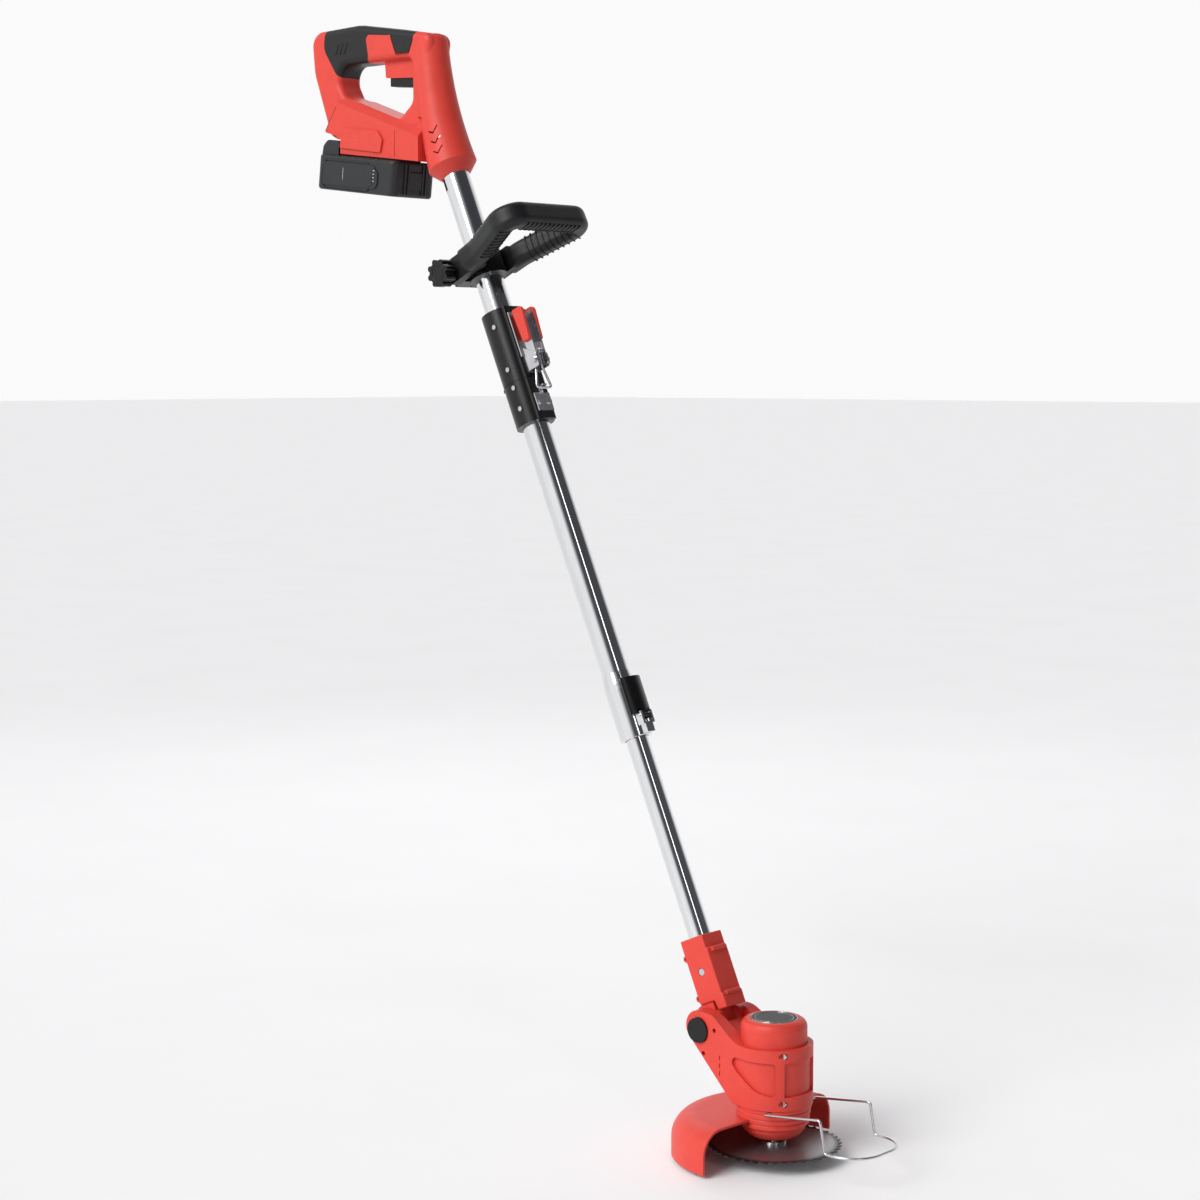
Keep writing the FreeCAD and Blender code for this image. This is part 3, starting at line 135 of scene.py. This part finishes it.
def grained(name, colour, metallic, rough, grain, bump, spread=0.08, stretch=(1, 1, 1), glint=0.5):
    """A surface with a fine mottled colour, a varied roughness and a small bump."""
    material, tree, shader = new_material(name)
    vector = coordinates(tree, stretch)
    broad = add(tree, "ShaderNodeTexNoise", Scale=grain * 0.08, Detail=3.0)
    fine = add(tree, "ShaderNodeTexNoise", Scale=grain, Detail=4.0)
    for noise in (broad, fine):
        tree.links.new(vector, noise.inputs["Vector"])
    tint = ramp(tree, broad.outputs["Fac"], shade(colour, 1 - spread), shade(colour, 1 + spread), 0.3, 0.7)
    tree.links.new(tint, shader.inputs["Base Color"])
    low, high = rough
    gloss = ramp(tree, fine.outputs["Fac"], (low, low, low, 1), (high, high, high, 1), 0.3, 0.7)
    tree.links.new(gloss, shader.inputs["Roughness"])
    relief = add(tree, "ShaderNodeBump", Strength=bump, Distance=0.0004)
    tree.links.new(fine.outputs["Fac"], relief.inputs["Height"])
    tree.links.new(relief.outputs["Normal"], shader.inputs["Normal"])
    shader.inputs["Metallic"].default_value = metallic
    shader.inputs["Specular IOR Level"].default_value = glint
    return material


def blade_steel():
    """Steel with fine turning rings and a darker band at the teeth."""
    material, tree, shader = new_material("blade_steel")
    vector = coordinates(tree, (1, 1, 0))
    rings = add(tree, "ShaderNodeTexWave", Scale=90.0, Distortion=0.6, Detail=2.0)
    rings.wave_type = "RINGS"
    rings.rings_direction = "Z"
    length = tree.nodes.new("ShaderNodeVectorMath")
    length.operation = "LENGTH"
    tree.links.new(vector, rings.inputs["Vector"])
    tree.links.new(vector, length.inputs[0])
    worn = ramp(tree, length.outputs["Value"], (0.42, 0.42, 0.43, 1), (0.06, 0.06, 0.065, 1), 0.0655, 0.069)
    shine = ramp(tree, rings.outputs["Fac"], (0.8, 0.8, 0.8, 1), (1, 1, 1, 1))
    tree.links.new(product(tree, worn, shine), shader.inputs["Base Color"])
    gloss = ramp(tree, rings.outputs["Fac"], (0.28, 0.28, 0.28, 1), (0.42, 0.42, 0.42, 1))
    tree.links.new(gloss, shader.inputs["Roughness"])
    shader.inputs["Metallic"].default_value = 0.9
    return material


MATERIALS = {
    "red_plastic": grained(
        "red_plastic", (0.64, 0.050, 0.034), 0.0, (0.42, 0.52), 900, 0.1, 0.04, glint=0.35),
    "black_plastic": grained(
        "black_plastic", (0.004, 0.0042, 0.0046), 0.0, (0.24, 0.34), 1400, 0.12, glint=0.35),
    "grey_plastic": grained(
        "grey_plastic", (0.014, 0.015, 0.017), 0.0, (0.36, 0.48), 1600, 0.25, glint=0.4),
    "soft_grip": grained("soft_grip", (0.006, 0.0064, 0.0072), 0.0, (0.36, 0.48), 2200, 0.4, glint=0.35),
    "polished_tube": grained(
        "polished_tube", (0.78, 0.79, 0.80), 1.0, (0.05, 0.10), 60, 0.02, 0.03, (18, 18, 1)),
    "bright_steel": grained("bright_steel", (0.62, 0.62, 0.64), 1.0, (0.16, 0.26), 700, 0.05),
    "blade_steel": blade_steel(),
    "label_black": grained("label_black", (0.006, 0.006, 0.007), 0.0, (0.3, 0.38), 500, 0.02, glint=0.12),
    "copper_motor": grained("copper_motor", (0.33, 0.33, 0.35), 1.0, (0.3, 0.42), 300, 0.05),
    "cell_wrap": grained("cell_wrap", (0.03, 0.16, 0.32), 0.0, (0.3, 0.4), 200, 0.03),
    "contact_brass": grained("contact_brass", (0.75, 0.55, 0.25), 1.0, (0.22, 0.32), 400, 0.05),
    "seam": grained("seam", (0.10, 0.008, 0.006), 0.0, (0.6, 0.75), 400, 0.05),
    "pale_print": grained("pale_print", (0.62, 0.62, 0.62), 0.0, (0.45, 0.55), 500, 0.03),
}
SLOT_OF = {part["node"]: part["material_slot"] for part in frame["record"]["subparts"]}


def dress_frame():
    """Every CAD node takes the material of its slot."""
    for name, obj in frame["nodes"].items():
        obj.data.materials.clear()
        obj.data.materials.append(MATERIALS[SLOT_OF[name]])


# ------------------------------------------------------------------ detail pieces
def finish_piece(name, mesh, material, body):
    """A detail in the scene, riding on a body, in its material's own slot."""
    obj = bpy.data.objects.new(name, mesh)
    bpy.context.scene.collection.objects.link(obj)
    mesh.materials.append(MATERIALS[material])
    for polygon in mesh.polygons:
        polygon.use_smooth = True
    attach(obj, body)
    return obj


def strand(name, points, radius, material, body, closed=False, sides=10):
    """A round bead laid along points."""
    points = [Vector(p) for p in points]
    count = len(points)
    verts, faces = [], []
    side = None
    for i, here in enumerate(points):
        before = points[i - 1] if (closed or i > 0) else here
        after = points[(i + 1) % count] if (closed or i < count - 1) else here
        along = (after - before).normalized()
        if side is None:
            side = along.orthogonal().normalized()
        side = (side - along * side.dot(along)).normalized()
        other = along.cross(side)
        for k in range(sides):
            angle = 2 * math.pi * k / sides
            verts.append(here + (side * math.cos(angle) + other * math.sin(angle)) * radius * MM)
    for i in range(count if closed else count - 1):
        for k in range(sides):
            a, b = i * sides, ((i + 1) % count) * sides
            faces.append((a + k, a + (k + 1) % sides, b + (k + 1) % sides, b + k))
    if not closed:
        faces.append(tuple(range(sides))[::-1])
        faces.append(tuple((count - 1) * sides + k for k in range(sides)))
    mesh = bpy.data.meshes.new(name)
    mesh.from_pydata(verts, [], faces)
    return finish_piece(name, mesh, material, body)


def ring_bead(name, centre, across, up, radius, bead, material, body):
    """A closed bead round a centre, in the plane of two directions."""
    turns = 64
    points = []
    for i in range(turns):
        angle = 2 * math.pi * i / turns
        points.append(centre + (across * math.cos(angle) + up * math.sin(angle)) * radius * MM)
    return strand(name, points, bead, material, body, closed=True)


X, Y, Z = Vector((1, 0, 0)), Vector((0, 1, 0)), Vector((0, 0, 1))


LOOP_LEVEL = 1058
LOOP_REACH = 114.0
LOOP_LIFT = 0.045
CLAMP_BOLT = -25.5
LOOP_HALF_SECTION = (12.0, 14.5)
LOOP_CORNER = 7.0
RIB_RADIUS = 0.9
RIB_RISE = 0.15
ARM_RIBS_FROM = (42.0, 40.9)
ARM_RIBS_TO = (98.0, 61.1)
ARM_RIBS = 9
BAR_RIBS = 13
BAR_RIB_STEP = 7


def loop_point(front, left):
    """A point on the middle line of the front loop, which rises a little towards its bar."""
    return pole(front, left, LOOP_LEVEL + LOOP_LIFT * (front - CLAMP_BOLT))


def loop_band(name, centre, along, sweep):
    """A raised rib round part of the loop's rounded section, swept between two angles in degrees."""
    across = along.cross(POLE_UP).normalized()
    half_thick, half_tall = (half + RIB_RISE for half in LOOP_HALF_SECTION)
    corner = LOOP_CORNER
    turns = 48
    points = []
    for i in range(turns + 1):
        angle = math.radians(sweep[0] + (sweep[1] - sweep[0]) * i / turns)
        cosine, sine = math.cos(angle), math.sin(angle)
        aside = math.copysign(half_thick - corner, cosine) + corner * cosine
        above = math.copysign(half_tall - corner, sine) + corner * sine
        points.append(centre + (across * aside + POLE_UP * above) * MM)
    strand(name, points, RIB_RADIUS, "soft_grip", "loop")


def loop_ribs():
    """Ribs under both arms of the front loop and along the inside of its bar."""
    run = ARM_RIBS_TO[0] - ARM_RIBS_FROM[0]
    spread = ARM_RIBS_TO[1] - ARM_RIBS_FROM[1]
    for label, sign, inner in (("left", 1, (-110, 70)), ("right", -1, (110, 290))):
        along = (POLE_FRONT * run + Y * sign * spread).normalized()
        for i in range(ARM_RIBS):
            t = i / (ARM_RIBS - 1)
            centre = loop_point(ARM_RIBS_FROM[0] + run * t, sign * (ARM_RIBS_FROM[1] + spread * t))
            loop_band("loop_rib_%s_%d" % (label, i), centre, along, inner)
    for i in range(BAR_RIBS):
        centre = loop_point(LOOP_REACH, BAR_RIB_STEP * (i - (BAR_RIBS - 1) // 2))
        loop_band("loop_bar_rib_%d" % i, centre, Y, (150, 300))


GRIP_SIDE = 19.5
HANDLE_SIDE = 28.02
PANEL_SIDE = 30.1
PACK_SIDE = 36.0
PRINT_SIDE = -36.25
NOTCH_SIDE = 33.6
NOTCH_LEVEL = 20.2


def grip_marks():
    """Three slanted ridges on each side of the soft grip."""
    for label, side in (("left", 1), ("right", -1)):
        for i in range(3):
            x = -190 + 8 * i
            points = [handle(x, side * GRIP_SIDE, 156), handle(x + 5, side * GRIP_SIDE, 169)]
            strand("grip_mark_%s_%d" % (label, i), points, 0.7, "soft_grip", "rear_unit")


def handle_seams():
    """Fine joint lines of the moulded handle."""
    for label, side in (("left", 1), ("right", -1)):
        y = side * HANDLE_SIDE
        limb = [handle(-200, y, 65), handle(-181, y, 92)]
        strand("seam_limb_" + label, limb, 0.3, "seam", "rear_unit")
        front = [handle(-76, y, 57), handle(-77, y, 26)]
        strand("seam_front_" + label, front, 0.3, "seam", "rear_unit")
        y = side * PANEL_SIDE
        ridge = [handle(-164, y, 49), handle(-110, y, 45), handle(-106, y, 40)]
        strand("panel_line_" + label, ridge, 0.5, "red_plastic", "rear_unit")


def battery_marks():
    """A printed line and charge marks on the battery's right side, and notches on its upper edges."""
    for i in range(4):
        z = 7 - 4.2 * i
        mark = [pack(34, PRINT_SIDE, z), pack(36.5, PRINT_SIDE, z)]
        strand("charge_mark_%d" % i, mark, 0.5, "pale_print", "battery")
    line = [pack(-20, PRINT_SIDE, 7), pack(-20, PRINT_SIDE, -8)]
    strand("print_line", line, 0.3, "pale_print", "battery")
    for i in range(7):
        x = -50 + 14 * i
        for label, side in (("left", 1), ("right", -1)):
            y = side * NOTCH_SIDE
            notch = [pack(x, y, NOTCH_LEVEL), pack(x + 6, y, NOTCH_LEVEL)]
            strand("edge_notch_%s_%d" % (label, i), notch, 0.9, "grey_plastic", "battery")


def battery_frames():
    """The raised outline of the battery's side panels."""
    corners = [(-58, -14), (-52, -20), (22, -20), (32, -10), (32, 6), (22, 15), (-52, 15), (-58, 9)]
    for label, side in (("left", 1), ("right", -1)):
        points = [pack(x, side * PACK_SIDE, z) for x, z in corners]
        strand("battery_frame_" + label, points, 0.7, "grey_plastic", "battery", closed=True)


def head_lines():
    """Two rings on the motor cap's label."""
    low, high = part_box("label_plate")
    centre = Vector(((low.x + high.x) / 2, (low.y + high.y) / 2, high.z))
    ring_bead("label_ring", centre, X, Y, 25.6, 0.35, "bright_steel", "head")
    ring_bead("label_inner_ring", centre, X, Y, 21.0, 0.2, "bright_steel", "head")


def knob_ring():
    """A raised rim on the clamp knob's outer face."""
    low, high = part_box("star_knob")
    centre = Vector(((low.x + high.x) / 2, low.y, (low.z + high.z) / 2))
    ring_bead("knob_rim", centre, X, Z, 9.0, 0.5, "black_plastic", "knob")


# ------------------------------------------------------------------ stage, light and camera
FLOOR_HALF = 60.0
FLOOR_GAP = 0.0005


def make_stage():
    """A pale floor that runs on past every view's horizon."""
    mesh = bpy.data.meshes.new("floor")
    z = cad_box[0][2] - FLOOR_GAP
    corners = [(-FLOOR_HALF, -FLOOR_HALF, z), (FLOOR_HALF, -FLOOR_HALF, z),
               (FLOOR_HALF, FLOOR_HALF, z), (-FLOOR_HALF, FLOOR_HALF, z)]
    mesh.from_pydata(corners, [], [(0, 1, 2, 3)])
    floor = bpy.data.objects.new("floor", mesh)
    bpy.context.scene.collection.objects.link(floor)
    mesh.materials.append(grained("floor_paint", (0.93, 0.93, 0.93), 0.0, (0.7, 0.75), 40, 0.0, 0.01))


def area_light(name, place, target, size, power):
    """A rectangular softbox aimed at a point."""
    light = bpy.data.lights.new(name, "AREA")
    light.shape = "RECTANGLE"
    light.size, light.size_y = size
    light.energy = power
    obj = bpy.data.objects.new(name, light)
    bpy.context.scene.collection.objects.link(obj)
    obj.location = place
    obj.rotation_euler = (Vector(target) - Vector(place)).to_track_quat("-Z", "Y").to_euler()


def make_world():
    """A pale studio that is dark on one side, so that the polished tubes show a dark band."""
    world = bpy.data.worlds.new("studio")
    bpy.context.scene.world = world
    world.use_nodes = True
    tree = world.node_tree
    place = tree.nodes.new("ShaderNodeTexCoord")
    split = tree.nodes.new("ShaderNodeSeparateXYZ")
    tree.links.new(place.outputs["Generated"], split.inputs["Vector"])
    sideways = ramp(tree, split.outputs["X"], (1, 1, 1, 1), (0.1, 0.1, 0.11, 1), 0.15, 0.5)
    overhead = ramp(tree, split.outputs["Z"], (1, 1, 1, 1), (0.45, 0.45, 0.47, 1), 0.3, 0.8)
    tree.links.new(product(tree, sideways, overhead), tree.nodes["Background"].inputs["Color"])
    tree.nodes["Background"].inputs["Strength"].default_value = 0.96


def make_light():
    """A wide soft key from the camera's left, with two weak softboxes."""
    middle = (-0.3, 0, 0.6)
    sun = bpy.data.lights.new("key", "SUN")
    sun.energy = 2.45
    sun.angle = math.radians(35)
    key = bpy.data.objects.new("key", sun)
    bpy.context.scene.collection.objects.link(key)
    key.rotation_euler = Vector((0.3, 2.6, -2.0)).to_track_quat("-Z", "Y").to_euler()
    area_light("fill", (2.4, -1.2, 1.6), middle, (0.3, 2.4), 7)
    area_light("back", (-2.2, 1.6, 2.2), middle, (1.2, 1.6), 9)
    bpy.context.scene.view_settings.view_transform = "Standard"


CAMERA_PLACE = Vector((1.6189, -2.0683, 0.8571))
CAMERA_SENSOR = 36
CAMERA_LENS = 73.5
CAMERA_TURN = math.radians(42.2)
CAMERA_TIP = math.radians(5.32)


def make_camera():
    """The photograph's viewing angle, with a long lens."""
    camera = bpy.data.cameras.new("camera")
    camera.sensor_width = CAMERA_SENSOR
    camera.lens = CAMERA_LENS
    obj = bpy.data.objects.new("camera", camera)
    bpy.context.scene.collection.objects.link(obj)
    obj.location = CAMERA_PLACE
    obj.rotation_euler = (math.pi / 2 - CAMERA_TIP, 0, CAMERA_TURN)
    bpy.context.scene.camera = obj


dress_frame()
loop_ribs()
grip_marks()
handle_seams()
battery_marks()
battery_frames()
head_lines()
knob_ring()
make_stage()
make_world()
make_light()
make_camera()
